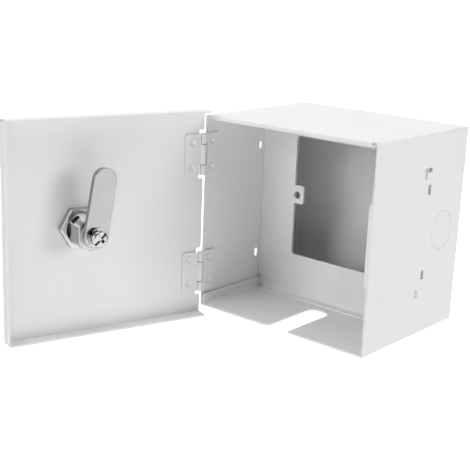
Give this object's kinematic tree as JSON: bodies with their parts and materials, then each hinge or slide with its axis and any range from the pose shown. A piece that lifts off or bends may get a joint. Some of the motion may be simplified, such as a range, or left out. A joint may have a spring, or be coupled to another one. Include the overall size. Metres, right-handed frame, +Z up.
{
  "type": "lockable outlet cover box",
  "caption": "Wall-mounted sheet-metal outlet box with a device plate, cord slot, hinged wrap-over door and a cam lock.",
  "frame": {"origin": "centre of the rear mounting face, which is also the centre of the rear hole pattern", "axes": "+X to the right along the front seen from the front, +Y towards the wall behind the box, +Z up"},
  "size_m": [0.152, 0.2112, 0.1217],
  "materials": {
    "powder_coat": "satin white powder coat with a very fine texture",
    "lock_plating": "nickel-chrome plating, slightly dulled",
    "zinc_steel": "zinc-plated steel, fine brushed",
    "bright_steel": "bright plated steel",
    "wafer_brass": "plain stamped brass"
  },
  "bodies": {
    "base": {"housing": "powder_coat", "knockout_slug": "powder_coat", "device_plate": "powder_coat", "strike_plate": "powder_coat", "hinge_upper_box_leaf": "powder_coat", "hinge_upper_pin": "powder_coat", "hinge_lower_box_leaf": "powder_coat", "hinge_lower_pin": "powder_coat", "hinge_rivets_box": "powder_coat"},
    "door": {"door_cover": "powder_coat", "hinge_upper_door_leaf": "powder_coat", "hinge_lower_door_leaf": "powder_coat", "hinge_rivets_door": "powder_coat", "lock_housing": "lock_plating", "lock_nut": "lock_plating"},
    "plug": {"lock_plug": "lock_plating", "plug_face_cap": "bright_steel", "lock_wafers": "wafer_brass", "lock_stop_washer": "zinc_steel", "lock_cam": "zinc_steel", "cam_lock_washer": "zinc_steel", "cam_screw": "bright_steel"}
  },
  "joints": [
    {"name": "door_hinge", "type": "hinge", "parent": "base", "child": "door", "pos_m": [-0.0568, -0.09518, 0], "axis": [0, 0, 1], "range_deg": [-72.75, 107.25]},
    {"name": "lock_turn", "type": "hinge", "parent": "door", "child": "plug", "pos_m": [-0.07934, -0.16776, -0.00015], "axis": [0.955, -0.2965, 0], "range_deg": [0, 99.3]}
  ]
}
